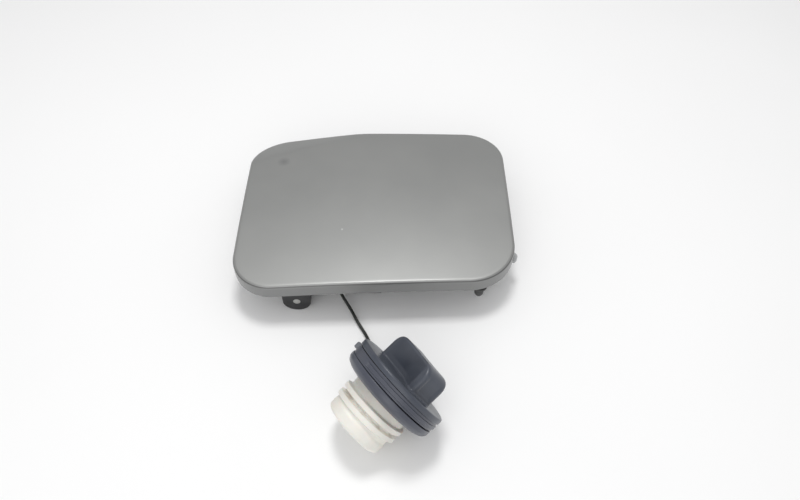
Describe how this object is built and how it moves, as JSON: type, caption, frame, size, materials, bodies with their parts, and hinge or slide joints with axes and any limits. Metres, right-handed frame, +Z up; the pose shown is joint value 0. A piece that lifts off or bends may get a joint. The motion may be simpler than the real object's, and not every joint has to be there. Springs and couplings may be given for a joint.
{
  "type": "car fuel door",
  "caption": "Painted steel fuel door on a sprung swing hinge, closed, with rubber bumpers, a latch striker, and a screw-in filler cap held by a tether.",
  "frame": {"origin": "middle of the two bolt holes in the underside of the hinge bracket's foot, which is also the surface that the part lies on", "axes": "+Z up out of the painted face, +X from the hinge pin towards the latch edge, +Y along the hinge pin, away from the cap"},
  "size_m": [0.197, 0.2595, 0.0648],
  "materials": {
    "body_paint": "satin metallic grey body paint",
    "inner_paint": "thin grey paint over primer",
    "black_steel": "black dip coat",
    "zinc": "bright zinc plate",
    "spring_steel": "drawn wire",
    "aluminium": "plain",
    "brass": "turned",
    "rubber": "matt black rubber",
    "white_nylon": "warm white nylon, stained in the thread",
    "grey_plastic": "light grey moulded plastic",
    "black_plastic": "black moulded plastic",
    "tether_plastic": "black flexible plastic",
    "cap_plastic": "dark slate grey, semi-gloss moulded plastic"
  },
  "bodies": {
    "bracket": {"hinge_bracket": "black_steel", "front_bush": "white_nylon", "rear_bush": "white_nylon", "closing_spring": "spring_steel", "tether_anchor": "black_plastic", "tether_cord": "tether_plastic", "tether_ring": "cap_plastic"},
    "door": {"door_outer_panel": "body_paint", "door_inner_panel": "inner_paint", "hinge_arm": "black_steel", "arm_screws": "zinc", "arm_nuts": "zinc", "hinge_pin": "zinc", "pin_clip": "spring_steel", "spacer_sleeve": "black_plastic", "front_bumper": "rubber", "rear_bumper": "rubber", "latch_striker": "grey_plastic", "striker_rivets": "aluminium"},
    "cap": {"cap_cover": "cap_plastic", "cap_skirt": "cap_plastic", "ratchet_ring": "white_nylon", "neck_seal": "rubber"},
    "plug": {"threaded_plug": "white_nylon", "valve_seat": "white_nylon", "spring_retainer": "white_nylon", "pressure_spring": "spring_steel"},
    "pressure_disc": {"pressure_valve": "brass", "pressure_seal": "rubber", "vacuum_spring": "spring_steel"},
    "vacuum_poppet": {"vacuum_valve": "aluminium"}
  },
  "joints": [
    {"name": "door_hinge", "type": "hinge", "parent": "bracket", "child": "door", "pos_m": [-0.036, 0, 0.01], "axis": [0, -1, 0], "range_deg": [0, 90], "stiffness_Nm_per_rad": 0.08, "springref_deg": -28.65, "deforming": ["closing_spring"]},
    {"name": "cap_turn", "type": "hinge", "parent": "bracket", "child": "cap", "pos_m": [0.0379, -0.1287, 0.03523], "axis": [0.7242, 0.5497, 0.4165], "continuous": true},
    {"name": "ratchet_slip", "type": "hinge", "parent": "cap", "child": "plug", "pos_m": [0.0379, -0.1287, 0.03523], "axis": [0.7242, 0.5497, 0.4165], "continuous": true},
    {"name": "pressure_lift", "type": "slide", "parent": "plug", "child": "pressure_disc", "axis": [0.7242, 0.5497, 0.4165], "range_m": [0, 0.002], "stiffness_N_per_m": 500, "springref_m": -0.001, "deforming": ["pressure_spring"]},
    {"name": "vacuum_drop", "type": "slide", "parent": "pressure_disc", "child": "vacuum_poppet", "axis": [-0.7242, -0.5497, -0.4165], "range_m": [0, 0.001], "stiffness_N_per_m": 60, "springref_m": -0.002, "deforming": ["vacuum_spring"]}
  ]
}
